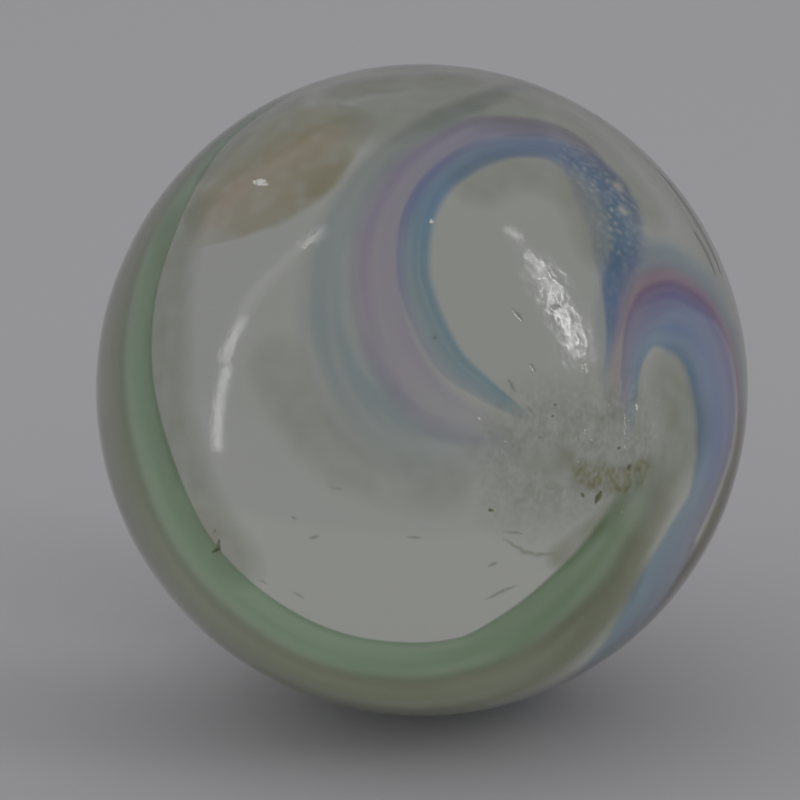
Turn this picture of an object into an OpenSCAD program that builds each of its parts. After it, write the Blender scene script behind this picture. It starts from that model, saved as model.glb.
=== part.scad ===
// A clear glass marble with swirls of coloured glass folded into it.
// The origin is the centre of the ball, +Z is up and the front of the swirl faces -Y.

/* [Ball] */
// Diameter of the marble
ball_d = 16; // [13:0.5:25]

/* [Layers of colour] */
// Clear glass over the outermost colour
skin = 0.35; // [0.2:0.05:0.6]
// Thickness of a colour at the middle of its width
colour_t = 0.25; // [0.15:0.05:0.4]
// Clear glass between one layer of colour and the next
layer_gap = 0.1; // [0.05:0.05:0.3]

/* [Widths of the swirls] */
// Green ribbon with its olive edge, at its widest
green_w = 5; // [3.5:0.1:5.5]
// Blue ribbon with its haze, at its widest
blue_w = 2.3; // [1.6:0.1:2.8]
// Mauve ribbon at its widest
mauve_w = 1.6; // [1:0.1:2]
// Violet ribbon at its widest
violet_w = 2.6; // [1.6:0.1:2.8]
// Crimson thread with its teal edge and olive tail, at its widest
crimson_w = 2; // [1:0.1:2.4]
// Pale veil at its widest
veil_w = 2.2; // [1.4:0.1:2.6]
// Amber cloud at its widest
amber_w = 4.4; // [3:0.1:4.8]

/* [Hidden] */

// Each route is a list of [longitude, latitude, share of the full width], in degrees.
// Longitude 0 is the front and grows to the right, and latitude grows upwards.

// From the top over the left shoulder, down the left side and round under the front
green_route = [
    [-127, 65, 0.1], [-116, 61, 0.2], [-108, 56, 0.25], [-101, 49, 0.35], [-94, 42, 0.5], [-88, 32, 0.7],
    [-82, 20, 0.8], [-75, 5, 0.9], [-68, -10, 1], [-59, -27, 1], [-45, -41, 1], [-27, -50, 1],
    [0, -53, 1], [20, -47, 0.9], [30, -37, 0.8], [37, -25, 0.65], [41, -16, 0.5], [46, -8, 0.45],
    [49, 0, 0.2]
];
// A tall arch on the front, open at the bottom, whose right leg is wide with a haze on its inside
blue_route = [
    [20, 12, 0.1], [13, 17, 0.25], [5, 24, 0.37], [-1, 36, 0.4], [-2, 45, 0.4], [0, 53, 0.4],
    [8, 60, 0.4], [28, 65, 0.4], [49, 64, 0.42], [59, 60, 0.57], [62, 54, 0.85], [60, 48, 1],
    [55, 42, 0.9], [49, 36, 0.65], [44, 29, 0.35], [40, 22, 0.16], [37, 17, 0.1]
];
// A wider arch outside the blue one
mauve_route = [
    [20, 7, 0.2], [9, 11, 0.75], [2, 15, 0.9], [-3, 21, 0.95], [-7, 27, 1], [-10, 35, 1], [-12, 44, 0.95],
    [-11, 53, 0.9], [-4, 63, 0.8], [13, 70, 0.7], [39, 73, 0.65], [61, 70, 0.6], [76, 64, 0.5],
    [78, 57, 0.3], [72, 49, 0.1]
];
// A small arch on the right whose far leg runs down and under the ball
violet_route = [
    [42, 3, 0.1], [43, 10, 0.2], [45, 17, 0.25], [49, 22, 0.4], [54, 24, 0.6], [60, 23, 0.75],
    [65, 20, 0.85], [69, 14, 1], [70, 5, 1], [69, -3, 0.9], [67, -9, 0.75], [65, -14, 0.65],
    [61, -20, 0.75], [60, -27, 1], [61, -35, 1], [64, -45, 0.9], [72, -58, 0.7], [95, -72, 0.5],
    [-150, -78, 0.4], [-130, -58, 0.1]
];
// The outer edge of the small arch, which runs on down the right side
crimson_route = [
    [40, 6, 0.15], [41, 13, 0.4], [43, 20, 0.6], [47, 26, 0.85], [53, 30, 1], [61, 32, 1],
    [70, 31, 1], [79, 27, 1], [86, 20, 0.9], [89, 11, 0.8], [89, 1, 0.7], [88, -8, 0.7],
    [85, -16, 0.8], [81, -24, 0.8], [76, -33, 0.6], [70, -43, 0.1]
];
// A faint band outside the mauve arch that runs over the top to the back
veil_route = [
    [22, 6, 0.15], [15, 5, 0.5], [6, 5, 0.8], [-3, 7, 0.95], [-10, 12, 1], [-16, 20, 1], [-20, 29, 1],
    [-23, 39, 0.95], [-24, 48, 0.85], [-22, 58, 0.75], [-15, 69, 0.65], [20, 79, 0.6], [90, 78, 0.5],
    [125, 68, 0.3], [132, 56, 0.1]
];
// An oval cloud on the left shoulder
amber_route = [
    [-73, 35, 0.1], [-74, 42, 0.65], [-75, 50, 0.95], [-74, 58, 1], [-72, 66, 0.95], [-68, 73, 0.65],
    [-55, 80, 0.1]
];

ball_r = ball_d / 2;
ball_facets = 128;
section_sides = 8;
steps_per_stretch = 2;
// A ribbon that narrows also thins, so that it is never thicker than this share of its width
thickest_share = 0.4;

// Radius of the middle of each layer, from the skin inwards.
// Colours that pass over each other lie in different layers.
layer_step = colour_t + layer_gap;
first_r = ball_r - skin - colour_t / 2;
second_r = first_r - layer_step;
third_r = second_r - layer_step;
fourth_r = third_r - layer_step;

// Unit vector towards a longitude and a latitude
function aim(lon, lat) = [cos(lat) * sin(lon), -cos(lat) * cos(lon), sin(lat)];

function unit(v) = v / norm(v);

// Smooth curve through b and c, with a before them and d after, as t runs from 0 to 1
function curve(a, b, c, d, t) =
    (2 * b + (c - a) * t + (2 * a - 5 * b + 4 * c - d) * t ^ 2 + (3 * b - a - 3 * c + d) * t ^ 3) / 2;

function held(list, i) = list[min(max(i, 0), len(list) - 1)];

// Stations along a route, each a direction followed by a share of the width
function stations(route) =
    let (knots = [for (p = route) concat(aim(p[0], p[1]), p[2])], last = len(knots) - 1)
    [for (s = [0 : last * steps_per_stretch])
        let (i = min(floor(s / steps_per_stretch), last - 1), t = s / steps_per_stretch - i)
        curve(held(knots, i - 1), knots[i], knots[i + 1], held(knots, i + 2), t)];

function direction(station) = unit([station[0], station[1], station[2]]);

// Lens-shaped section across the ribbon at station i, bent to follow the ball
function section(stops, i, width, radius) =
    let (
        out = direction(stops[i]),
        along = direction(held(stops, i + 1)) - direction(held(stops, i - 1)),
        side = unit(cross(along, out)),
        half_w = width * stops[i][3] / 2,
        half_t = min(colour_t, 2 * half_w * thickest_share) / 2
    )
    [for (k = [0 : section_sides - 1])
        let (
            turn = 360 * k / section_sides,
            off = half_w * cos(turn) / radius * 180 / PI,
            r = radius + half_t * sin(turn) * abs(sin(turn))
        )
        r * (cos(off) * out + sin(off) * side)];

// One streak of colour, swept along its route in its layer
module swirl(route, width, radius) {
    stops = stations(route);
    rings = len(stops);
    points = [for (i = [0 : rings - 1]) each section(stops, i, width, radius)];
    first_cap = [for (k = [section_sides - 1 : -1 : 0]) k];
    last_cap = [for (k = [0 : section_sides - 1]) (rings - 1) * section_sides + k];
    walls = [for (i = [0 : rings - 2], k = [0 : section_sides - 1])
        let (next = (k + 1) % section_sides, here = i * section_sides, ahead = here + section_sides)
        each [[here + k, here + next, ahead + next], [here + k, ahead + next, ahead + k]]];
    polyhedron(points, concat([first_cap], walls, [last_cap]));
}

module green_ribbon() {
    color("#5f8a5c") swirl(green_route, green_w, first_r);
}

module blue_ribbon() {
    color("#4a6690") swirl(blue_route, blue_w, first_r);
}

module mauve_ribbon() {
    color("#8d7a90") swirl(mauve_route, mauve_w, second_r);
}

module violet_ribbon() {
    color("#5d6799") swirl(violet_route, violet_w, second_r);
}

module crimson_thread() {
    color("#8a5570") swirl(crimson_route, crimson_w, third_r);
}

module pale_veil() {
    color("#84989c") swirl(veil_route, veil_w, third_r);
}

module amber_cloud() {
    color("#938a6c") swirl(amber_route, amber_w, fourth_r);
}

// The clear ball is fused round the colours, which fill the room that they take up
module clear_glass() {
    color("#c9cec2", 0.35) difference() {
        sphere(d = ball_d, $fn = ball_facets);
        green_ribbon();
        blue_ribbon();
        mauve_ribbon();
        violet_ribbon();
        crimson_thread();
        pale_veil();
        amber_cloud();
    }
}

clear_glass();
green_ribbon();
blue_ribbon();
mauve_ribbon();
violet_ribbon();
crimson_thread();
pale_veil();
amber_cloud();
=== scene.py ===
"""Dresses a packed glass marble: the clear ball with its wear, and the coloured glass inside it."""

import logging
import math
import random
from dataclasses import dataclass, field
from enum import Enum
from typing import Sequence

import bmesh
import bpy
import numpy as np
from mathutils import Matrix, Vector, noise


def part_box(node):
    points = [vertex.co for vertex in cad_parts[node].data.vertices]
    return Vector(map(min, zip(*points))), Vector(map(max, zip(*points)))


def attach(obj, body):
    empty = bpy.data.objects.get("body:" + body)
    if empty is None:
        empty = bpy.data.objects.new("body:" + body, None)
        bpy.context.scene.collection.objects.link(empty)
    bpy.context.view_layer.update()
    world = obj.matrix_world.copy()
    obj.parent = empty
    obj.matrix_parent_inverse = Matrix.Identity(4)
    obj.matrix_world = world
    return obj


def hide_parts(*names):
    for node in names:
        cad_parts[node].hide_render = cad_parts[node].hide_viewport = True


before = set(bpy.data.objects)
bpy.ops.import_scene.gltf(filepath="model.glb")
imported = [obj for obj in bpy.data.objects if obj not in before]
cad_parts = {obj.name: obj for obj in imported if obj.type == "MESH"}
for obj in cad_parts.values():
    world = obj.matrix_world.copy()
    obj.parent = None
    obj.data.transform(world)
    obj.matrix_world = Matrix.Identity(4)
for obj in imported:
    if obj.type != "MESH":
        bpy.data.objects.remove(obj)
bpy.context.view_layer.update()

log = logging.getLogger("marble")

MM = 0.001
PHOTO_PX = 800
ROOT_BODY = "root"
WHITE = "#ffffff"
FROST = "frost"
# Darkening of the skin: dirt in flaws and bruises, and painted shade in some films
GRIME_AND_SHADE = "grime_and_shade"
MERGE_MM = 0.0005
# The range that nearly all of a noise texture falls in
NOISE_RANGE = (0.35, 0.65)
# Sockets of a Mix node that mixes colours, and then the socket of its result
MIX_AMOUNT = 0
MIX_FIRST = 6
MIX_SECOND = 7
MIX_RESULT = 2

Tree = bpy.types.NodeTree
Socket = bpy.types.NodeSocket
Rgba = tuple[float, float, float, float]
Stop = tuple[float, str | float]
LonLat = tuple[float, float]
Triple = tuple[float, float, float]


def linear(hex_colour: str) -> Rgba:
    """Turns an sRGB hex colour to linear light.

    Args:
        hex_colour: A colour such as "#8899aa".

    Returns:
        Red, green, blue and an alpha of 1.
    """
    parts = [int(hex_colour[i:i + 2], 16) / 255 for i in (1, 3, 5)]
    red, green, blue = (p / 12.92 if p <= 0.04045 else ((p + 0.055) / 1.055) ** 2.4 for p in parts)
    return red, green, blue, 1.0


def aim(lon: float, lat: float) -> Vector:
    """Gives the unit vector towards a longitude and a latitude.

    Args:
        lon: Degrees round the ball from the front, growing to the right.
        lat: Degrees up from the middle.

    Returns:
        The direction from the ball's centre.
    """
    a, b = math.radians(lon), math.radians(lat)
    return Vector((math.cos(b) * math.sin(a), -math.cos(b) * math.cos(a), math.sin(b)))


def add_node(
    tree: Tree,
    kind: str,
    settings: dict[str, object] | None = None,
    inputs: dict[str | int, object] | None = None,
) -> bpy.types.Node:
    """Adds a shader node with its settings, its socket values and its links.

    Args:
        tree: The node tree.
        kind: The node's type name.
        settings: Attributes of the node.
        inputs: Values for its input sockets, or output sockets to link to them.

    Returns:
        The new node.
    """
    node = tree.nodes.new(kind)
    for name, value in (settings or {}).items():
        setattr(node, name, value)
    for key, value in (inputs or {}).items():
        if isinstance(value, Socket):
            tree.links.new(value, node.inputs[key])
        else:
            node.inputs[key].default_value = value
    return node


def add_ramp(tree: Tree, fac: Socket, stops: Sequence[Stop]) -> Socket:
    """Adds a ramp of colours or amounts.

    Args:
        tree: The node tree.
        fac: The place on the ramp.
        stops: Places from 0 to 1, each with a hex colour or an amount.

    Returns:
        The ramp's colour there.
    """
    node = add_node(tree, "ShaderNodeValToRGB", {}, {"Fac": fac})
    elements = node.color_ramp.elements
    while len(elements) < len(stops):
        elements.new(1.0)
    for element, (place, value) in zip(elements, stops):
        element.position = place
        element.color = linear(value) if isinstance(value, str) else (value, value, value, 1.0)
    return node.outputs["Color"]


def calculate(tree: Tree, operation: str, *values: Socket | float) -> Socket:
    """Adds a step of arithmetic.

    Args:
        tree: The node tree.
        operation: The Math node's operation.
        values: What it works on.

    Returns:
        Its result.
    """
    node = add_node(tree, "ShaderNodeMath", {"operation": operation}, dict(enumerate(values)))
    return node.outputs["Value"]


def rescale(
    tree: Tree,
    value: Socket,
    old: Sequence[Socket | float] = (0.0, 1.0),
    new: Sequence[Socket | float] = (0.0, 1.0),
    shape: str = "LINEAR",
) -> Socket:
    """Maps one range of values to another.

    Args:
        tree: The node tree.
        value: The value.
        old: The ends of the range that it comes in.
        new: The ends of the range that it goes to.
        shape: The kind of interpolation.

    Returns:
        The mapped value, held inside the new range.
    """
    node = add_node(tree, "ShaderNodeMapRange", {"interpolation_type": shape}, {
        "Value": value, "From Min": old[0], "From Max": old[1], "To Min": new[0], "To Max": new[1]})
    return node.outputs["Result"]


def mix_colours(
    tree: Tree,
    amount: Socket | float,
    first: Socket | Rgba,
    second: Socket | Rgba,
    blend: str = "MIX",
) -> Socket:
    """Mixes two colours.

    Args:
        tree: The node tree.
        amount: How much of the second colour there is.
        first: The first colour.
        second: The second colour.
        blend: The kind of mixing.

    Returns:
        The mixed colour.
    """
    node = add_node(tree, "ShaderNodeMix", {"data_type": "RGBA", "blend_type": blend}, {
        MIX_AMOUNT: amount, MIX_FIRST: first, MIX_SECOND: second})
    return node.outputs[MIX_RESULT]


def add_grains(tree: Tree, place: Socket, size_mm: float, detail: float) -> Socket:
    """Adds noise whose grains have a size in millimetres.

    Args:
        tree: The node tree.
        place: The point of the piece.
        size_mm: The size of a grain.
        detail: How much finer noise it holds.

    Returns:
        The noise, round a half.
    """
    return add_node(tree, "ShaderNodeTexNoise", {}, {
        "Vector": place, "Scale": 1 / (size_mm * MM), "Detail": detail}).outputs["Fac"]


def add_streaks(tree: Tree, place: Socket, times_along: float, times_across: float) -> Socket:
    """Adds noise that is drawn out along a ribbon.

    Args:
        tree: The node tree.
        place: The ribbon's UV.
        times_along: How many streaks its length holds.
        times_across: How many its width holds.

    Returns:
        The noise, round a half.
    """
    drawn = add_node(tree, "ShaderNodeMapping", {}, {
        "Vector": place, "Scale": (times_along, times_across, 1.0)}).outputs["Vector"]
    return add_node(tree, "ShaderNodeTexNoise", {"noise_dimensions": "2D"}, {
        "Vector": drawn, "Scale": 1.0, "Detail": 2.0}).outputs["Fac"]


def new_material(name: str) -> tuple[bpy.types.Material, Tree, bpy.types.Node]:
    """Makes an empty node material.

    Args:
        name: The real material's name.

    Returns:
        The material, its node tree and its output node.
    """
    material = bpy.data.materials.new(name)
    material.use_nodes = True
    material.node_tree.nodes.clear()
    return material, material.node_tree, add_node(material.node_tree, "ShaderNodeOutputMaterial")


def finish_piece(bm: bmesh.types.BMesh, name: str, node: str) -> bpy.types.Object:
    """Makes an object of a finished bmesh, and puts it in the place of a CAD node.

    Args:
        bm: The mesh, which is freed.
        name: The piece's name.
        node: The CAD node that it stands for.

    Returns:
        The new object, riding on the one body.
    """
    mesh = bpy.data.meshes.new(name)
    bm.to_mesh(mesh)
    bm.free()
    mesh.polygons.foreach_set("use_smooth", [True] * len(mesh.polygons))
    piece = bpy.data.objects.new(name, mesh)
    bpy.context.scene.collection.objects.link(piece)
    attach(piece, ROOT_BODY)
    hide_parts(node)
    log.info("%s: %d faces, in place of %s", name, len(mesh.polygons), node)
    return piece


@dataclass(frozen=True)
class ClearGlass:
    """Soda-lime glass, cast and tumbled: clear with an olive cast, its skin worn by play."""

    name: str = "soda_lime_clear_glass"
    ior: float = 1.5
    polished: float = 0.1
    ground: float = 0.5
    tint: str = "#c3d69a"
    absorb_per_m: float = 20.0
    # Colours that darken the glass: dirt in flaws and bruises, and painted shade in some films
    grime_and_shade: Sequence[Stop] = ((0.0, WHITE), (0.5, "#bec2b4"), (0.72, "#98946a"), (1.0, "#2a2a1a"))
    wear_mm: float = 0.12
    wear_strength: float = 0.03

    def make(self) -> bpy.types.Material:
        """Builds the material. Its tint is in its depth, bruises are hazy, cracks hold dirt, and films
        darken it with dirt in places and painted shade in others.

        Returns:
            The material.
        """
        material, tree, out = new_material(self.name)
        # The darkening attribute holds dirt, and painted shade where films copy darker surroundings
        frost, dirt = (
            add_node(tree, "ShaderNodeAttribute", {"attribute_name": layer}).outputs["Fac"]
            for layer in (FROST, GRIME_AND_SHADE))
        place = add_node(tree, "ShaderNodeTexCoord").outputs["Object"]
        wear = add_grains(tree, place, self.wear_mm, detail=1.0)
        bump = add_node(tree, "ShaderNodeBump", {}, {
            "Height": wear, "Strength": self.wear_strength, "Distance": self.wear_mm * MM})
        shader = add_node(tree, "ShaderNodeBsdfPrincipled", {}, {
            "Base Color": add_ramp(tree, dirt, self.grime_and_shade),
            "Roughness": rescale(tree, frost, new=(self.polished, self.ground)),
            "IOR": self.ior, "Transmission Weight": 1.0, "Normal": bump.outputs["Normal"]})
        depth = add_node(tree, "ShaderNodeVolumeAbsorption", {}, {
            "Color": linear(self.tint), "Density": self.absorb_per_m})
        tree.links.new(shader.outputs["BSDF"], out.inputs["Surface"])
        tree.links.new(depth.outputs["Volume"], out.inputs["Volume"])
        return material


@dataclass(frozen=True)
class CrushedGlassAndGlint:
    """Glass ground to grit in the bottom of a chip, matt and white as frost is; its white also paints the
    glints of light on the chips.
    """

    name: str = "crushed_glass_painted_glint"
    # The pale grains paint glints of light on the chips; the dull ones are duller grit
    pale: str = "#b8b8b4"
    dull: str = "#888882"
    grit_mm: float = 0.08
    roughness: float = 0.85
    ior: float = 1.5

    def make(self) -> bpy.types.Material:
        """Builds the material. Its grit is uneven, so that a chip has brighter and duller grains; the
        brighter ones paint glints of light.

        Returns:
            The material.
        """
        material, tree, out = new_material(self.name)
        place = add_node(tree, "ShaderNodeTexCoord").outputs["Object"]
        grit = add_grains(tree, place, self.grit_mm, detail=2.0)
        colour = add_ramp(tree, grit, tuple(zip(NOISE_RANGE, (self.dull, self.pale))))
        shader = add_node(tree, "ShaderNodeBsdfPrincipled", {}, {
            "Base Color": colour, "Roughness": self.roughness, "IOR": self.ior})
        tree.links.new(shader.outputs["BSDF"], out.inputs["Surface"])
        return material


SOFT_EDGES = ((0.0, 0.0), (0.15, 1.0), (0.85, 1.0), (1.0, 0.0))
SOFT_ENDS = ((0.0, 0.0), (0.1, 1.0), (0.9, 1.0), (1.0, 0.0))
IN_PLACE = 0.5
EVEN = ((0.0, 1.0), (1.0, 1.0))
UNTINTED = ((0.0, WHITE), (1.0, WHITE))


@dataclass(frozen=True)
class StreakGlass:
    """Coloured glass drawn out in streaks: it filters what is behind it, and thins out to nothing.

    Places along a ribbon run from 0 to 1 with its route, and places across it from its outer edge at 0
    to the inside of its arch at 1. The colours across it can be spread and shifted on the way along it.
    """

    name: str
    hue_across: Sequence[Stop]
    amount_across: Sequence[Stop] = EVEN
    edges: Sequence[Stop] = SOFT_EDGES
    hue_along: Sequence[Stop] = UNTINTED
    amount_along: Sequence[Stop] = SOFT_ENDS
    spread_along: Sequence[Stop] = EVEN
    shift_along: Sequence[Stop] = ((0.0, IN_PLACE), (1.0, IN_PLACE))
    outer_fade_along: Sequence[Stop] = ((0.0, 0.02), (1.0, 0.02))
    grain_along: Sequence[Stop] = ((0.0, 0.0), (1.0, 0.0))
    clear_spots: Sequence[Triple] = ()
    streak_mm: float = 0.3
    streak_length_mm: float = 5.0
    streak_depth: float = 0.2
    wander: float = 0.06
    wander_mm: float = 1.5
    wander_folds: float = 1.5
    grain_mm: float = 0.25
    grain_wall: tuple[float, float] = (0.15, 0.5)
    grain_softness: float = 0.3
    spot_edge: tuple[float, float] = (0.3, 0.6)
    ior: float = 1.0

    def make(self, length_mm: float, width_mm: float, radius_mm: float) -> bpy.types.Material:
        """Builds the material. Streaks run along the ribbon, and its ends and edges fade out.

        Args:
            length_mm: The ribbon's length.
            width_mm: The ribbon's full width.
            radius_mm: The radius of the layer that it lies in.

        Returns:
            The material.
        """
        material, tree, out = new_material(self.name)
        place = add_node(tree, "ShaderNodeUVMap").outputs["UV"]
        split = add_node(tree, "ShaderNodeSeparateXYZ", {}, {"Vector": place})
        along, side = split.outputs["X"], split.outputs["Y"]
        across = self.bent_across(tree, place, side, along, length_mm)
        hue_across = add_ramp(tree, across, self.hue_across)
        hue = mix_colours(tree, 1.0, hue_across, add_ramp(tree, along, self.hue_along), "MULTIPLY")
        streaks = add_streaks(tree, place, length_mm / self.streak_length_mm, width_mm / self.streak_mm)
        amount = rescale(tree, streaks, NOISE_RANGE, (1.0 - self.streak_depth, 1.0))
        fade = add_ramp(tree, along, self.outer_fade_along)
        amount = calculate(tree, "MULTIPLY", amount, rescale(tree, side, (0.0, fade)))
        for fac, stops in ((across, self.amount_across), (side, self.edges), (along, self.amount_along)):
            amount = calculate(tree, "MULTIPLY", amount, add_ramp(tree, fac, stops))
        amount = self.seeded(tree, along, amount, radius_mm)
        shader = add_node(tree, "ShaderNodeBsdfPrincipled", {}, {
            "Base Color": mix_colours(tree, amount, linear(WHITE), hue),
            "Roughness": 0.0, "IOR": self.ior, "Transmission Weight": 1.0})
        tree.links.new(shader.outputs["BSDF"], out.inputs["Surface"])
        return material

    def bent_across(
        self,
        tree: Tree,
        place: Socket,
        across: Socket,
        along: Socket,
        length_mm: float,
    ) -> Socket:
        """Lets the colours wander across the ribbon, as glass that was folded while hot does.

        Args:
            tree: The material's node tree.
            place: The ribbon's UV.
            across: The place across it.
            along: The place along it.
            length_mm: The ribbon's length.

        Returns:
            The place across it that the colours follow.
        """
        drift = add_streaks(tree, place, length_mm / self.wander_mm, self.wander_folds)
        moved = calculate(tree, "ADD", across, rescale(tree, drift, new=(-self.wander, self.wander)))
        spread = add_ramp(tree, along, self.spread_along)
        shift = add_ramp(tree, along, self.shift_along)
        laid = calculate(tree, "MULTIPLY_ADD", moved, spread, shift)
        return calculate(tree, "SUBTRACT", laid, IN_PLACE)

    def seeded(
        self,
        tree: Tree,
        along: Socket,
        amount: Socket,
        radius_mm: float,
    ) -> Socket:
        """Draws the colour into a net round tiny bubbles, and leaves it out of the larger clear spots.

        Args:
            tree: The material's node tree.
            along: The place along the ribbon.
            amount: The amount of colour so far.
            radius_mm: The radius of the ribbon's layer.

        Returns:
            The amount of colour with its net and its clear spots.
        """
        place = add_node(tree, "ShaderNodeTexCoord").outputs["Object"]
        cells = add_node(tree, "ShaderNodeTexVoronoi", {"feature": "SMOOTH_F1"}, {
            "Vector": place, "Scale": 1 / (self.grain_mm * MM), "Smoothness": self.grain_softness})
        net = rescale(tree, cells.outputs["Distance"], self.grain_wall)
        kept = rescale(tree, add_ramp(tree, along, self.grain_along), new=(1.0, net))
        for lon, lat, size_mm in self.clear_spots:
            far = add_node(tree, "ShaderNodeVectorMath", {"operation": "DISTANCE"}, {
                0: place, 1: aim(lon, lat) * radius_mm * MM}).outputs["Value"]
            ends = [part * size_mm * MM for part in self.spot_edge]
            kept = calculate(tree, "MULTIPLY", kept, rescale(tree, far, ends, shape="SMOOTHSTEP"))
        return calculate(tree, "MULTIPLY", amount, kept)


@dataclass
class Ribbon:
    """One streak of coloured glass, swept along a route just under the ball's skin."""

    node: str
    slot: str
    glass: StreakGlass
    width_mm: float
    depth_mm: float
    route: Sequence[Triple]
    thickness_mm: float = 0.25
    thickest_share: float = 0.4
    end_sharpness: int = 32
    rings: int = 160
    strips: int = 20

    def knots(self) -> list[tuple[Vector, float]]:
        """Gives the route's points as directions, each with its share of the width."""
        return [(aim(lon, lat), share) for lon, lat, share in self.route]

    def station(self, t: float) -> tuple[Vector, float]:
        """Finds a point along the route.

        Args:
            t: From 0 at the start to 1 at the end.

        Returns:
            The direction there, and the share of the full width.
        """
        knots = self.knots()
        last = len(knots) - 1
        i = min(int(t * last), last - 1)
        s = t * last - i
        near = [knots[min(max(k, 0), last)] for k in (i - 1, i, i + 1, i + 2)]
        weights = ((-s + 2 * s ** 2 - s ** 3) / 2, (2 - 5 * s ** 2 + 3 * s ** 3) / 2,
                   (s + 4 * s ** 2 - 3 * s ** 3) / 2, (s ** 3 - s ** 2) / 2)
        out = sum((w * knot[0] for w, knot in zip(weights, near)), Vector())
        return out.normalized(), sum(w * knot[1] for w, knot in zip(weights, near))

    def build(self, ball_r: float) -> bpy.types.Object:
        """Models the ribbon as two bowed faces that meet along its edges.

        Args:
            ball_r: The ball's radius.

        Returns:
            The ribbon's object.
        """
        radius = ball_r - self.depth_mm * MM
        step = 0.5 / self.rings
        bm = bmesh.new()
        bm.loops.layers.uv.verify()
        for face_side in (1, -1):
            grid = bmesh.ops.create_grid(
                bm, x_segments=self.rings, y_segments=self.strips, size=1.0, calc_uvs=True)
            for vert in grid["verts"]:
                t, across = (vert.co.x + 1) / 2, vert.co.y
                out, share = self.station(t)
                along = self.station(min(t + step, 1))[0] - self.station(max(t - step, 0))[0]
                side = along.cross(out).normalized()
                half_w = self.width_mm * MM * share / 2
                half_t = min(self.thickness_mm * MM, 2 * half_w * self.thickest_share) / 2
                closing = 1 - (2 * t - 1) ** self.end_sharpness
                lift = face_side * half_t * (1 - across ** 2) * closing
                off = half_w * across / radius
                vert.co = (radius + lift) * (math.cos(off) * out + math.sin(off) * side)
            if face_side > 0:
                bmesh.ops.reverse_faces(bm, faces=list({f for v in grid["verts"] for f in v.link_faces}))
        bmesh.ops.remove_doubles(bm, verts=bm.verts, dist=MERGE_MM * MM)
        bmesh.ops.recalc_face_normals(bm, faces=bm.faces)
        return finish_piece(bm, self.node + "_glass", self.node)

    def length_mm(self, ball_r: float) -> float:
        """Measures the route.

        Args:
            ball_r: The ball's radius.

        Returns:
            Its length along the ribbon's layer, in millimetres.
        """
        points = [self.station(i / self.rings)[0] for i in range(self.rings + 1)]
        return sum(a.angle(b) for a, b in zip(points, points[1:])) * (ball_r / MM - self.depth_mm)

    def dress(self, piece: bpy.types.Object, ball_r: float) -> None:
        """Gives the ribbon its streaked glass.

        Args:
            piece: The ribbon's object.
            ball_r: The ball's radius.
        """
        radius_mm = ball_r / MM - self.depth_mm
        piece.data.materials.append(self.glass.make(self.length_mm(ball_r), self.width_mm, radius_mm))


class Wear(Enum):
    """A kind of flaw in the skin, with its depth, its frost, the dirt that it holds and the stain round it.
    """

    # A white chip's white grit also paints a glint of light
    WHITE_CHIP = (0.06, 0.4, 0.0, 0.0)
    DARK_CHIP = (0.12, 0.2, 0.95, 0.35)
    SCRATCH = (0.08, 0.2, 0.55, 0.1)
    CRACK = (0.12, 0.1, 0.55, 0.2)
    CREASE = (0.01, 0.1, 0.42, 0.14)

    def __init__(self, depth_share: float, frost: float, grime_and_shade: float, stain: float) -> None:
        """Keeps the four amounts under their names.

        Args:
            depth_share: The flaw's depth, as a share of its width.
            frost: How frosted it is.
            grime_and_shade: How much dirt it holds.
            stain: How much dirt there is round it.
        """
        self.depth_share = depth_share
        self.frost = frost
        self.grime_and_shade = grime_and_shade
        self.stain = stain


@dataclass(frozen=True)
class Flaw:
    """A chip, crack or scratch that follows a short path over the ball's skin and narrows to its ends."""

    wear: Wear
    width_mm: float
    path: Sequence[LonLat]
    end_share: float = 0.35

    def reach(self, towards: np.ndarray, ball_r: float) -> np.ndarray:
        """Measures how far points of the skin are from the flaw's path.

        Args:
            towards: Unit vectors to the points.
            ball_r: The ball's radius.

        Returns:
            Their distances, in shares of the flaw's half width there.
        """
        knots = [np.array(aim(lon, lat)) for lon, lat in self.path]
        best = np.full(len(towards), np.inf)
        for i, (start, end) in enumerate(zip(knots, knots[1:])):
            run = end - start
            share = np.clip((towards - start) @ run / (run @ run), 0, 1)
            far = np.linalg.norm(towards - start - share[:, None] * run, axis=1)
            middle = np.sin(np.pi * (i + share) / (len(knots) - 1))
            best = np.minimum(best, far / (self.end_share + (1 - self.end_share) * middle))
        return best * ball_r / (self.width_mm * MM / 2)


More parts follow.
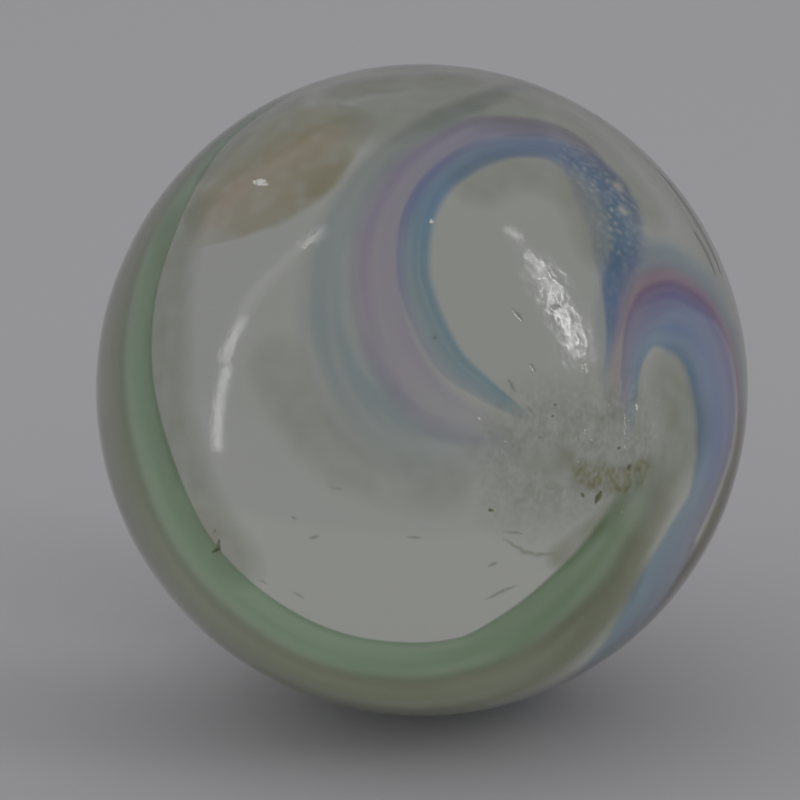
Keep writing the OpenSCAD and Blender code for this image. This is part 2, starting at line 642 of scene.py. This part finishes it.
@dataclass(frozen=True)
class Bruise:
    """A patch of skin that is mottled, stained and pitted, where it was struck."""

    path: Sequence[LonLat] = ((22, 4), (28, 3), (36, 4))
    radius_mm: float = 2.2
    fullness: float = 1.15
    coarse_mm: float = 0.3
    fine_mm: float = 0.1
    upright: float = 0.75
    mottle_depth_mm: float = 0.008
    fine_depth: float = 0.5
    frost: float = 0.38
    frost_level: float = 0.5
    # How much the skin is darkened: dirt in a bruise, painted shade in some films
    grime_and_shade: float = 0.5
    grime_and_shade_level: float = 0.7
    fine_grime_and_shade: float = 1.2
    contrast: float = 0.35
    # White chips, whose white grit paints small glints of light, and dark chips
    white_chips: int = 14
    dark_chips: int = 5
    chip_mm: tuple[float, float] = (0.08, 0.14)
    chip_length_deg: tuple[float, float] = (0.2, 0.6)
    chip_slant_deg: float = 0.4
    seed: int = 11

    def share(self, towards: np.ndarray, ball_r: float) -> np.ndarray:
        """Gives how much of the bruise each point of the skin has.

        Args:
            towards: Unit vectors to the points.
            ball_r: The ball's radius.

        Returns:
            Shares from 0 outside the bruise to 1 along its middle.
        """
        far = Flaw(Wear.SCRATCH, 2 * self.radius_mm, self.path, end_share=1.0).reach(towards, ball_r)
        return np.clip(self.fullness - far ** 2, 0, 1)

    def scatter(self, ball_r: float) -> list[Flaw]:
        """Strews small upright chips over the bruise, always in the same places.

        Args:
            ball_r: The ball's radius.

        Returns:
            The chips.
        """
        dice = random.Random(self.seed)
        spread = math.degrees(self.radius_mm * MM / ball_r)
        chips = []
        for wear, count in ((Wear.WHITE_CHIP, self.white_chips), (Wear.DARK_CHIP, self.dark_chips)):
            for _ in range(count):
                middle = dice.choice(self.path)
                turn, far = dice.uniform(0, math.tau), spread * math.sqrt(dice.random())
                lon, lat = middle[0] + far * math.cos(turn), middle[1] + far * math.sin(turn)
                slant = dice.uniform(-self.chip_slant_deg, self.chip_slant_deg)
                tail = (lon + slant, lat + dice.uniform(*self.chip_length_deg))
                chips.append(Flaw(wear, dice.uniform(*self.chip_mm), ((lon, lat), tail)))
        return chips

    def marks(self, place_mm: Vector) -> Triple:
        """Gives what the bruise does to the skin at a place, in marks that are drawn out upright.

        Args:
            place_mm: A point of the skin.

        Returns:
            How far the skin sinks there in millimetres, how frosted it is, and how much it is darkened, by
            dirt in a bruise and by painted shade in some films.
        """
        drawn = Vector((place_mm.x, place_mm.y, place_mm.z * self.upright))
        coarse, fine = (noise.noise(drawn / grain_mm) for grain_mm in (self.coarse_mm, self.fine_mm))
        return (
            self.mottle_depth_mm * (coarse + self.fine_depth * fine),
            self.frost * (self.frost_level + coarse + fine),
            self.grime_and_shade * (self.grime_and_shade_level - self.contrast * (coarse + self.fine_grime_and_shade * fine)))


@dataclass(frozen=True)
class Film(Bruise):
    """A film on sound skin which darkens what is seen through it: a stain of dirt in some places, painted
    shade in others, where the glass shows darker surroundings.
    """

    radius_mm: float = 0.7
    coarse_mm: float = 0.7
    fine_mm: float = 0.3
    mottle_depth_mm: float = 0.0
    frost: float = 0.0
    contrast: float = 0.12
    white_chips: int = 0
    dark_chips: int = 0


BRUISES = (
    Bruise(),
    # A scuff that breaks up the light on the right
    Bruise(((29, 35), (30, 30), (30, 25), (30, 19)), radius_mm=0.9, coarse_mm=0.2, upright=1.0,
           mottle_depth_mm=0.004, frost=0.15, grime_and_shade=0.0, white_chips=0, dark_chips=0),
    # Olive stain on the right of the bruise, and a fainter one on its left
    Film(((29, 1), (34, -1), (38, -2), (42, -1)), radius_mm=0.6, coarse_mm=0.3, fine_mm=0.1,
         contrast=0.2, grime_and_shade=0.95),
    Film(((20, 5), (25, 4)), contrast=0.2, grime_and_shade=0.65),
    # In the small arch and beside it
    Film(((52, 11), (53, 7), (54, 3), (47, -4)), radius_mm=1.2, grime_and_shade=0.7),
    # Painted shade outside the veil
    Film(((-28, 20), (-21, 11), (-13, 5), (-4, 2), (4, 1)), radius_mm=0.9, contrast=0.2, grime_and_shade=0.4),
    # Painted shade along the inside of the green ribbon, on the left and on the right
    Film(((-70, 38), (-62, 29), (-56, 19), (-52, 9), (-48, 1), (-45, -6), (-41, -12), (-38, -16)),
         radius_mm=1.1, grime_and_shade=0.66),
    Film(((26, -14), (30, -11), (34, -8), (38, -5), (41, -2)), radius_mm=0.5, grime_and_shade=0.72),
    # Painted shade over the top and outside the tall arch on the right, and a darker film inside the top of
    # the tall arch
    Film(((-28, 74), (-10, 77), (28, 79), (66, 73)), radius_mm=1.4, grime_and_shade=0.68),
    Film(((-80, 77), (-40, 86), (80, 84)), radius_mm=1.0, grime_and_shade=0.75),
    Film(((18, 56), (27, 58), (38, 57), (45, 53), (47, 47), (44, 40)), radius_mm=0.8, grime_and_shade=0.5),
    Film(((78, 63), (74, 57), (70, 51), (68, 43)), radius_mm=0.9, grime_and_shade=0.48),
    # A mottled darker film on the left shoulder, and painted shade low on the right edge
    Film(((-79, 49), (-85, 55), (-91, 60), (-90, 67)), radius_mm=0.6, contrast=0.5, grime_and_shade=0.4),
    Film(((72, -12), (70, -17), (68, -22), (67, -27)), radius_mm=0.5, grime_and_shade=0.6),
)

FLAWS = (
    # Crescent crack under the bruise, with its broken upper lip
    Flaw(Wear.CRACK, 0.14, (
        (14.5, -9.5), (16.5, -11), (18.5, -12.5), (21, -13.5), (23.5, -13.5), (26, -13.5))),
    Flaw(Wear.CRACK, 0.11, ((14.5, -8), (16.5, -8.5), (18, -9))),
    # Dark chips and dirt in and round the bruise
    Flaw(Wear.DARK_CHIP, 0.26, ((33, -3), (32, -5))),
    Flaw(Wear.DARK_CHIP, 0.22, ((39.5, 0.5), (38.5, 0))),
    Flaw(Wear.DARK_CHIP, 0.12, ((29, -2.5), (29.5, -3.5))),
    Flaw(Wear.DARK_CHIP, 0.1, ((11.5, -3.5), (12.5, -4))),
    Flaw(Wear.SCRATCH, 0.16, ((23, -1), (24.5, -0.5))),
    Flaw(Wear.SCRATCH, 0.16, ((24.5, -2), (25.5, -1))),
    # Lines above it
    Flaw(Wear.CRACK, 0.12, ((16, 19), (17, 17))),
    Flaw(Wear.CRACK, 0.12, ((19, 14.5), (20.5, 12))),
    Flaw(Wear.SCRATCH, 0.12, ((20.5, 21.5), (21.5, 20))),
    Flaw(Wear.SCRATCH, 0.12, ((27, 31), (29, 30.5))),
    Flaw(Wear.SCRATCH, 0.12, ((19, 31), (20.5, 29))),
    # White chips in it, whose white grit paints glints of light
    Flaw(Wear.WHITE_CHIP, 0.24, ((31, 20), (32, 19))),
    Flaw(Wear.WHITE_CHIP, 0.18, ((30, 9), (30, 8))),
    Flaw(Wear.WHITE_CHIP, 0.15, ((41.5, 11.5), (41.5, 10))),
    Flaw(Wear.WHITE_CHIP, 0.1, ((38.5, 10.5), (38.5, 7.5), (38, 4.5))),
    Flaw(Wear.WHITE_CHIP, 0.14, ((34.5, 4), (34.5, 3.5))),
    Flaw(Wear.WHITE_CHIP, 0.1, ((28.5, 3.5), (28.5, 3))),
    Flaw(Wear.WHITE_CHIP, 0.1, ((31.5, 7), (31, 6.5))),
    # Scratches below the crescent
    Flaw(Wear.SCRATCH, 0.12, ((12, -15), (13.5, -14))),
    Flaw(Wear.SCRATCH, 0.12, ((12, -22), (15, -20.5), (17.5, -19.5))),
    # Nick and specks on the lower left, and one in the arch
    Flaw(Wear.DARK_CHIP, 0.16, ((-39.5, -13.5), (-40, -15.5), (-42, -17))),
    Flaw(Wear.DARK_CHIP, 0.1, ((-40.5, -12.5), (-40, -11.5))),
    Flaw(Wear.SCRATCH, 0.1, ((-15.5, 0), (-14, 0))),
    Flaw(Wear.SCRATCH, 0.1, ((-20.5, -10), (-19, -9.5))),
    Flaw(Wear.SCRATCH, 0.1, ((-23.5, -6), (-22.5, -6.5))),
    Flaw(Wear.SCRATCH, 0.1, ((-2.5, -8.5), (0, -8.5))),
    Flaw(Wear.SCRATCH, 0.1, ((-32, -20.5), (-30.5, -21))),
    Flaw(Wear.SCRATCH, 0.11, ((-25, -22), (-23, -23))),
    Flaw(Wear.SCRATCH, 0.1, ((2, 27), (3, 27))),
    # Creases by the right edge, and a fold line on the upper left
    Flaw(Wear.CREASE, 0.6, ((93, 43), (90, 38), (88, 33), (86.5, 28.5), (85, 24))),
    Flaw(Wear.CREASE, 0.35, ((82, 33), (81.5, 29), (80.5, 25))),
    Flaw(Wear.CREASE, 0.25, ((-61.5, 73), (-52, 73.5), (-41, 74))),
    # Chips on the top of the arch and on the shoulder, whose white grit paints bright glints of light
    Flaw(Wear.WHITE_CHIP, 0.16, ((3, 49), (2, 48.5))),
    Flaw(Wear.WHITE_CHIP, 0.28, ((-56, 51.5), (-50, 52))),
)


@dataclass
class ClearBall:
    """The clear ball, with the chips, cracks and bruises that its skin has picked up."""

    node: str = "clear_glass"
    slot: str = "clear_glass"
    glass: ClearGlass = field(default_factory=ClearGlass)
    powder_and_glints: CrushedGlassAndGlint = field(default_factory=CrushedGlassAndGlint)
    bruises: Sequence[Bruise] = BRUISES
    flaws: Sequence[Flaw] = FLAWS
    subdivisions: int = 7
    fine_cuts: int = 3
    worn_margin_mm: float = 0.12
    bowl_fullness: float = 1.3
    stain_reach: float = 2.5
    ripple_mm: float = 1.8
    ripple_depth_mm: float = 0.006
    ragged_mm: float = 0.14
    ragged_depth_mm: float = 0.035
    glint_powder_share: float = 0.3

    def build(self, ball_r: float) -> bpy.types.Object:
        """Models the ball and its worn skin.

        Args:
            ball_r: Its radius.

        Returns:
            The ball's object.
        """
        bm = bmesh.new()
        bmesh.ops.create_icosphere(bm, subdivisions=self.subdivisions, radius=ball_r)
        flaws = [*self.flaws, *(chip for bruise in self.bruises for chip in bruise.scatter(ball_r))]
        self.refine(bm, flaws, ball_r)
        self.wear_down(bm, flaws, ball_r)
        return finish_piece(bm, "clear_ball", self.node)

    def refine(self, bm: bmesh.types.BMesh, flaws: Sequence[Flaw], ball_r: float) -> None:
        """Cuts the faces finer where the skin is worn.

        Args:
            bm: The ball's mesh.
            flaws: The flaws in its skin.
            ball_r: The ball's radius.
        """
        faces = list(bm.faces)
        towards = np.array([face.calc_center_median().normalized() for face in faces])
        worn = np.zeros(len(faces), dtype=bool)
        for bruise in self.bruises:
            if bruise.mottle_depth_mm > 0:
                worn |= bruise.share(towards, ball_r) > 0
        for flaw in flaws:
            worn |= (flaw.reach(towards, ball_r) - 1) * flaw.width_mm / 2 < self.worn_margin_mm
        edges = list({edge for face, is_worn in zip(faces, worn) if is_worn for edge in face.edges})
        bmesh.ops.subdivide_edges(bm, edges=edges, cuts=self.fine_cuts, use_grid_fill=True)
        bmesh.ops.triangulate(bm, faces=[face for face in bm.faces if len(face.verts) > 3])

    def wear_down(self, bm: bmesh.types.BMesh, flaws: Sequence[Flaw], ball_r: float) -> None:
        """Sinks each flaw into the skin, and notes where the skin is frosted, how dark it is made by dirt
        and painted shade, and where white grit paints glints.

        Args:
            bm: The ball's mesh.
            flaws: The flaws in its skin.
            ball_r: The ball's radius.
        """
        for layer in (FROST, GRIME_AND_SHADE):
            bm.verts.layers.float.new(layer)
        frost_layer, grime_and_shade_layer = bm.verts.layers.float[FROST], bm.verts.layers.float[GRIME_AND_SHADE]
        bm.verts.index_update()
        verts = list(bm.verts)
        towards = np.array([vert.co.normalized() for vert in verts])
        shake = np.array([noise.noise_vector(vert.co / (self.ragged_mm * MM)) for vert in verts])
        ragged = towards + shake * self.ragged_depth_mm * MM / ball_r
        depth, frost, grime_and_shade, crushed_and_glinting = (np.zeros(len(verts)) for _ in range(4))
        for flaw in flaws:
            far = flaw.reach(ragged, ball_r)
            bowl = np.clip(self.bowl_fullness * (1 - far ** 2), 0, 1)
            halo = np.clip(1 - far / self.stain_reach, 0, 1)
            depth = np.maximum(depth, bowl * flaw.wear.depth_share * flaw.width_mm)
            frost = np.maximum(frost, bowl * flaw.wear.frost)
            grime_and_shade = np.maximum(grime_and_shade, np.maximum(bowl * flaw.wear.grime_and_shade, halo * flaw.wear.stain))
            # White chips take white grit, which paints glints of light
            if flaw.wear is Wear.WHITE_CHIP:
                crushed_and_glinting = np.maximum(crushed_and_glinting, bowl)
        # Bruises and films mottle, frost and darken the skin; a film's darkening is dirt in places and
        # painted shade in others
        for bruise in self.bruises:
            shares = bruise.share(towards, ball_r)
            for i in np.flatnonzero(shares):
                marks = bruise.marks(Vector(towards[i]) * ball_r / MM)
                sunk, hazy, dirt_and_shade = (shares[i] * mark for mark in marks)
                depth[i] += sunk
                frost[i] = max(frost[i], hazy)
                grime_and_shade[i] = max(grime_and_shade[i], dirt_and_shade)
        for i, vert in enumerate(verts):
            out = Vector(towards[i])
            depth[i] += self.ripple_depth_mm * noise.noise(out * ball_r / (self.ripple_mm * MM))
            vert.co = out * (ball_r - depth[i] * MM)
            vert[frost_layer] = frost[i]
            vert[grime_and_shade_layer] = grime_and_shade[i]
        # Faces inside white chips take the grit material, whose white paints glints
        for face in bm.faces:
            face.material_index = int(min(crushed_and_glinting[vert.index] for vert in face.verts) > self.glint_powder_share)

    def dress(self, piece: bpy.types.Object) -> None:
        """Gives the ball its clear glass, and its white chips their ground glass, whose white also paints
        glints.
        """
        for finish in (self.glass, self.powder_and_glints):
            piece.data.materials.append(finish.make())


@dataclass(frozen=True)
class Pane:
    """One pane of soft light beside the ball, with its place and size in millimetres."""

    name: str
    place_mm: Triple
    size_mm: tuple[float, float]
    radiance: float

    def hang(self) -> None:
        """Hangs the pane upright as a lamp that faces the ball's axis. A radiance of 1 is white."""
        place = Vector(self.place_mm) * MM
        data = bpy.data.lights.new(self.name, "AREA")
        data.shape = "RECTANGLE"
        data.size, data.size_y = (side * MM for side in self.size_mm)
        data.energy = self.radiance * math.pi * data.size * data.size_y
        lamp = bpy.data.objects.new(self.name, data)
        lamp.location = place
        lamp.rotation_euler = Vector((place.x, place.y, 0)).to_track_quat("Z", "Y").to_euler()
        lamp.visible_camera = False
        bpy.context.scene.collection.objects.link(lamp)


PANES = (
    Pane("left_top_pane", (-120, -25, 187), (5, 56), 9.0),
    Pane("left_middle_pane", (-120, -26, 110), (14, 96), 0.8),
    Pane("left_low_pane", (-40, -13.2, 15.8), (2.7, 11), 4.5),
    Pane("left_floor_pane", (-40, -14.8, 1.2), (2.7, 17.6), 4.3),
    Pane("right_top_pane", (120, -38, 224), (6, 50), 8.0),
    Pane("right_middle_pane", (120, -51, 144), (7, 74), 13.0),
    Pane("right_low_pane", (120, -65, 86), (12, 64), 9.5),
    Pane("right_wide_pane", (120, -64, 104), (32, 124), 1.1),
)


@dataclass
class Studio:
    """A plain pale floor, an even grey room, panes of light at the sides, and the camera."""

    floor_colour: str = "#8f8e91"
    room_colour: str = "#939294"
    dim_colour: str = "#565656"
    dim_to: float = 0.45
    pale_from: float = 0.8
    floor_m: float = 3.0
    floor_gap_mm: float = 0.02
    elevation: float = 18.0
    distance_mm: float = 600.0
    ball_px: tuple[float, float] = (422.0, 390.0)
    ball_radius_px: float = 326.0
    panes: Sequence[Pane] = PANES

    def floor(self, ball_r: float) -> None:
        """Lays the floor under the ball. The glass shows it evenly lit, because glass lets light through.

        Args:
            ball_r: The ball's radius.
        """
        bm = bmesh.new()
        bmesh.ops.create_grid(bm, x_segments=1, y_segments=1, size=self.floor_m / 2)
        bmesh.ops.translate(bm, verts=bm.verts, vec=(0, 0, -ball_r - self.floor_gap_mm * MM))
        mesh = bpy.data.meshes.new("floor")
        bm.to_mesh(mesh)
        bm.free()
        piece = bpy.data.objects.new("floor", mesh)
        bpy.context.scene.collection.objects.link(piece)
        material, tree, out = new_material("matt_grey_paper")
        shader = add_node(tree, "ShaderNodeBsdfPrincipled", {}, {
            "Base Color": linear(self.floor_colour), "Roughness": 0.9, "Specular IOR Level": 0.1})
        lit = add_node(tree, "ShaderNodeEmission", {}, {"Color": linear(self.floor_colour)})
        rays = add_node(tree, "ShaderNodeLightPath").outputs
        seen = add_node(tree, "ShaderNodeMixShader", {}, {
            0: rays["Is Transmission Ray"], 1: shader.outputs["BSDF"], 2: lit.outputs["Emission"]})
        tree.links.new(seen.outputs["Shader"], out.inputs["Surface"])
        mesh.materials.append(material)

    def room(self) -> None:
        """Lights the scene evenly, and shows glass and camera a grey room that is dimmer at the front."""
        world = bpy.data.worlds.new("room")
        bpy.context.scene.world = world
        world.use_nodes = True
        tree = world.node_tree
        tree.nodes.clear()
        place = add_node(tree, "ShaderNodeTexCoord").outputs["Generated"]
        split = add_node(tree, "ShaderNodeSeparateXYZ", {}, {"Vector": place})
        back = rescale(tree, split.outputs["Y"], (-1.0, 1.0))
        seen = add_ramp(tree, back, (
            (0.0, self.dim_colour), (self.dim_to, self.dim_colour), (self.pale_from, self.room_colour)))
        rays = add_node(tree, "ShaderNodeLightPath").outputs
        shown = calculate(tree, "MAXIMUM", rays["Is Glossy Ray"], rays["Is Transmission Ray"])
        shown = calculate(tree, "MAXIMUM", rays["Is Camera Ray"], shown)
        colour = mix_colours(tree, shown, linear(WHITE), seen)
        light = add_node(tree, "ShaderNodeBackground", {}, {"Color": colour, "Strength": 1.0})
        add_node(tree, "ShaderNodeOutputWorld", {}, {"Surface": light.outputs["Background"]})

    def camera(self, ball_r: float) -> None:
        """Sets the camera so that the ball falls where the photograph shows it.

        Args:
            ball_r: The ball's radius.
        """
        tilt = math.radians(self.elevation)
        back = Vector((0, -math.cos(tilt), math.sin(tilt)))
        up = Vector((0, math.sin(tilt), math.cos(tilt)))
        distance = self.distance_mm * MM
        px = math.tan(math.asin(ball_r / distance)) * distance / self.ball_radius_px
        middle = PHOTO_PX / 2
        target = Vector((1, 0, 0)) * (middle - self.ball_px[0]) * px + up * (self.ball_px[1] - middle) * px
        data = bpy.data.cameras.new("camera")
        data.sensor_width = 36.0
        data.lens = data.sensor_width * distance / (PHOTO_PX * px)
        data.clip_start, data.clip_end = 1 * MM, 10.0
        camera = bpy.data.objects.new("camera", data)
        camera.location = target + back * distance
        camera.rotation_euler = (math.pi / 2 - tilt, 0, 0)
        bpy.context.scene.collection.objects.link(camera)
        bpy.context.scene.camera = camera

    def build(self, ball_r: float) -> None:
        """Sets up the camera, the floor, the room and its panes of light.

        Args:
            ball_r: The ball's radius.
        """
        bpy.context.scene.view_settings.view_transform = "Standard"
        self.camera(ball_r)
        self.floor(ball_r)
        self.room()
        for pane in self.panes:
            pane.hang()


# Depth of the middle of each layer of colour
LAYER_1_MM = 0.475
LAYER_2_MM = 0.825
LAYER_3_MM = 1.175
LAYER_4_MM = 1.525

RIBBONS = (
    Ribbon(
        "green_ribbon", "green_glass",
        StreakGlass(
            "green_streak_glass",
            hue_across=((0.0, "#a8c4a6"), (0.05, "#c0dec0"), (0.28, "#bedabc"), (0.36, "#a8b298"),
                        (0.46, "#bcc2a8"), (1.0, "#ccd0bc")),
            edges=((0.0, 0.5), (0.02, 1.0), (0.82, 1.0), (1.0, 0.12)),
            outer_fade_along=((0.0, 0.01), (0.74, 0.01), (0.84, 0.04), (1.0, 0.15)),
            hue_along=((0.0, WHITE), (0.6, WHITE), (0.72, "#f2f2ee"), (0.8, "#e4e4de"), (0.9, "#eae8e0"),
                       (1.0, "#f4f0ea")),
            spread_along=((0.0, 1.0), (0.7, 1.0), (0.85, 0.62), (1.0, 0.62)),
            streak_mm=0.6, streak_depth=0.15, wander=0.015),
        5.0, LAYER_1_MM, (
            (-127, 65, 0.1), (-116, 61, 0.2), (-108, 56, 0.25), (-101, 49, 0.35), (-94, 42, 0.5),
            (-88, 32, 0.7), (-82, 20, 0.8), (-75, 5, 0.9), (-68, -10, 1), (-59, -27, 1), (-45, -41, 1),
            (-27, -50, 1), (0, -53, 1), (20, -47, 0.9), (30, -37, 0.8), (37, -25, 0.65), (41, -16, 0.5),
            (46, -8, 0.45), (49, 0, 0.2)), strips=32),
    Ribbon(
        "blue_ribbon", "blue_glass",
        StreakGlass(
            "blue_streak_glass",
            hue_across=((0.0, "#f2eaff"), (0.18, WHITE), (0.44, "#eefcff"), (0.54, "#fff2ff"),
                        (1.0, "#fff4ff")),
            amount_across=((0.0, 0.3), (0.1, 0.75), (0.2, 1.0), (0.37, 0.95), (0.46, 0.58), (0.55, 0.5),
                           (0.85, 0.42), (1.0, 0.28)),
            amount_along=((0.0, 0.2), (0.05, 1.0), (0.9, 1.0), (1.0, 0.0)),
            edges=((0.0, 0.1), (0.1, 1.0), (0.85, 1.0), (1.0, 0.0)),
            spread_along=((0.0, 0.46), (0.5, 0.46), (0.62, 0.66), (0.72, 0.76), (0.78, 0.84), (0.88, 0.58),
                          (0.94, 0.5)),
            shift_along=((0.0, 0.5), (0.66, 0.5), (0.74, 0.46), (0.8, 0.42), (0.88, 0.34), (1.0, 0.42)),
            hue_along=((0.0, "#c8e0ee"), (0.19, "#c0d8ea"), (0.25, "#b6d4ee"), (0.33, "#aaccf6"),
                       (0.42, "#a4bee8"), (0.5, "#94b0e8"), (0.6, "#92aade"), (0.72, "#92b2da"),
                       (0.78, "#98bae4"), (0.88, "#a8c4f4"), (1.0, "#b4ccf8")),
            grain_along=((0.0, 0.0), (0.52, 0.0), (0.62, 0.75), (0.82, 0.7), (0.9, 0.2), (1.0, 0.0)),
            grain_mm=0.2,
            clear_spots=((67.5, 48.5, 0.42), (61.5, 44.5, 0.42), (56, 39.5, 0.14), (51.5, 36, 0.12))),
        2.3, LAYER_1_MM, (
            (20, 12, 0.1), (13, 17, 0.25), (5, 24, 0.37), (-1, 36, 0.4), (-2, 45, 0.4), (0, 53, 0.4),
            (8, 60, 0.4), (28, 65, 0.4), (49, 64, 0.42), (59, 60, 0.57), (62, 54, 0.85), (60, 48, 1),
            (55, 42, 0.9), (49, 36, 0.65), (44, 29, 0.35), (40, 22, 0.16), (37, 17, 0.1))),
    Ribbon(
        "mauve_ribbon", "mauve_glass",
        StreakGlass(
            "mauve_streak_glass",
            hue_across=((0.0, "#f4e6ea"), (0.25, "#faf6fa"), (0.5, WHITE), (1.0, "#f6f6ff")),
            amount_across=((0.0, 1.0), (1.0, 0.9)),
            edges=((0.0, 0.0), (0.26, 1.0), (0.8, 1.0), (1.0, 0.0)),
            amount_along=((0.0, 0.0), (0.12, 0.8), (0.25, 1.0), (0.82, 1.0), (0.92, 0.85), (1.0, 0.0)),
            hue_along=((0.0, "#eae4f6"), (0.35, "#eae0f4"), (0.5, "#e2d8f2"), (0.6, "#d8d0f0"),
                       (0.7, "#d2caec"), (0.8, "#c4bcd8"), (1.0, "#c4c4de"))),
        1.6, LAYER_2_MM, (
            (20, 7, 0.2), (9, 11, 0.75), (2, 15, 0.9), (-3, 21, 0.95), (-7, 27, 1), (-10, 35, 1),
            (-12, 44, 0.95), (-11, 53, 0.9), (-4, 63, 0.8), (13, 70, 0.7), (39, 73, 0.65), (61, 70, 0.6),
            (76, 64, 0.5), (78, 57, 0.3), (72, 49, 0.1))),
    Ribbon(
        "violet_ribbon", "violet_glass",
        StreakGlass(
            "violet_streak_glass",
            hue_across=((0.0, "#c8b8e4"), (0.35, "#b4c6fa"), (0.8, "#a8ccfc"), (1.0, "#b4d4f4")),
            edges=((0.0, 0.2), (0.1, 1.0), (0.88, 1.0), (1.0, 0.0)),
            hue_along=((0.0, WHITE), (0.4, "#fffaff"), (0.5, "#fff8fa"), (0.58, "#fbf4e6"),
                       (1.0, "#f8f2e2")),
            amount_along=((0.0, 0.0), (0.1, 0.7), (0.2, 0.75), (0.28, 1.0), (0.42, 1.0), (0.5, 0.95),
                          (0.6, 0.88), (0.7, 0.95), (0.9, 0.9), (1.0, 0.0)),
            streak_depth=0.25),
        2.6, LAYER_2_MM, (
            (42, 3, 0.1), (43, 10, 0.2), (45, 17, 0.25), (49, 22, 0.4), (54, 24, 0.6), (60, 23, 0.75),
            (65, 20, 0.85), (69, 14, 1), (70, 5, 1), (69, -3, 0.9), (67, -9, 0.75), (65, -14, 0.65),
            (61, -20, 0.75), (60, -27, 1), (61, -35, 1), (64, -45, 0.9), (72, -58, 0.7), (95, -72, 0.5),
            (-150, -78, 0.4), (-130, -58, 0.1))),
    Ribbon(
        "crimson_thread", "crimson_glass",
        StreakGlass(
            "crimson_streak_glass",
            hue_across=((0.0, "#d0e2ea"), (0.2, "#bcd4e8"), (0.36, "#b8cae4"), (0.48, "#ccaecc"),
                        (0.6, "#d0b2ce"), (0.72, "#d8c8e2"), (0.85, "#e6daf0"), (1.0, "#f0eaf8")),
            edges=((0.0, 0.0), (0.15, 1.0), (0.95, 1.0), (1.0, 0.3)),
            amount_across=((0.0, 0.5), (0.2, 0.8), (0.36, 0.95), (0.6, 1.0), (0.8, 0.8), (1.0, 0.5)),
            shift_along=((0.0, 0.5), (0.33, 0.5), (0.4, 0.45), (0.47, 0.3), (0.55, 0.18), (0.68, 0.18),
                         (0.76, 0.5)),
            outer_fade_along=((0.0, 0.05), (0.36, 0.05), (0.46, 0.4), (0.55, 0.5), (0.68, 0.5),
                              (0.76, 0.1)),
            hue_along=((0.0, WHITE), (0.22, "#fff4f8"), (0.3, "#fff0f4"), (0.4, WHITE), (0.68, "#fcf6f8"),
                       (0.75, "#b0b03c"), (1.0, "#b0b03c")),
            amount_along=((0.0, 0.0), (0.1, 0.35), (0.18, 0.55), (0.26, 0.72), (0.34, 0.9), (0.5, 1.0),
                          (0.92, 1.0), (1.0, 0.0))),
        2.0, LAYER_3_MM, (
            (40, 6, 0.15), (41, 13, 0.4), (43, 20, 0.6), (47, 26, 0.85), (53, 30, 1), (61, 32, 1),
            (70, 31, 1), (79, 27, 1), (86, 20, 0.9), (89, 11, 0.8), (89, 1, 0.7), (88, -8, 0.7),
            (85, -16, 0.8), (81, -24, 0.8), (76, -33, 0.6), (70, -43, 0.1))),
    Ribbon(
        "pale_veil", "pale_glass",
        StreakGlass(
            "pale_streak_glass",
            hue_across=((0.0, "#e4eaea"), (0.45, "#d4e2ea"), (0.75, "#d6e4f4"), (1.0, "#dce4f8")),
            edges=SOFT_ENDS,
            amount_across=((0.0, 0.0), (0.28, 0.8), (0.5, 1.0), (0.62, 0.6), (0.75, 0.15), (0.9, 0.0)),
            amount_along=((0.0, 0.0), (0.1, 0.4), (0.2, 0.75), (0.3, 1.0), (0.9, 1.0), (1.0, 0.0)),
            spread_along=((0.0, 0.68), (0.3, 0.68), (0.42, 0.9), (0.55, 1.0)),
            hue_along=((0.0, "#e6ecf4"), (0.3, "#f6f8fc"), (0.6, WHITE), (0.72, "#eeeae6"),
                       (0.85, "#e8e4e0"), (1.0, WHITE)),
            streak_depth=0.35, streak_mm=0.4),
        2.2, LAYER_3_MM, (
            (22, 6, 0.15), (15, 5, 0.5), (6, 5, 0.8), (-3, 7, 0.95), (-10, 12, 1), (-16, 20, 1),
            (-20, 29, 1), (-23, 39, 0.95), (-24, 48, 0.85), (-22, 58, 0.75), (-15, 69, 0.65), (20, 79, 0.6),
            (90, 78, 0.5), (125, 68, 0.3), (132, 56, 0.1))),
    Ribbon(
        "amber_cloud", "amber_glass",
        StreakGlass(
            "amber_streak_glass",
            hue_across=((0.0, "#e4e4da"), (0.25, "#e2e2d4"), (0.38, "#d6d0b2"), (0.44, "#dcd4ba"),
                        (0.52, "#f4e0d2"), (0.6, "#f0e6da"), (0.75, "#ece8dc"), (0.88, "#e6e2d4"),
                        (0.93, "#e4e0d4"), (1.0, "#e8e4d8")),
            edges=((0.0, 0.0), (0.15, 1.0), (0.95, 1.0), (1.0, 0.0)),
            hue_along=((0.0, "#f6f6f2"), (0.3, "#fcf6f0"), (0.5, "#f8f4e8"), (0.6, "#f0eada"),
                       (0.7, "#f0eada"), (0.8, "#f6f4ea")),
            amount_along=((0.0, 0.0), (0.2, 1.0), (0.8, 1.0), (1.0, 0.0)),
            grain_along=((0.0, 0.35), (1.0, 0.35)), grain_mm=0.5, streak_mm=0.5),
        4.4, LAYER_4_MM, (
            (-73, 35, 0.1), (-74, 42, 0.65), (-75, 50, 0.95), (-74, 58, 1), (-72, 66, 0.95),
            (-68, 73, 0.65), (-55, 80, 0.1))),
)


def main() -> None:
    """Builds the studio, the ball and its ribbons."""
    logging.basicConfig(level=logging.INFO, format="%(name)s: %(message)s")
    low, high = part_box("clear_glass")
    ball_r = (high.z - low.z) / 2
    Studio().build(ball_r)
    ball = ClearBall()
    ball.dress(ball.build(ball_r))
    for ribbon in RIBBONS:
        ribbon.dress(ribbon.build(ball_r), ball_r)


if __name__ == "__main__":
    main()
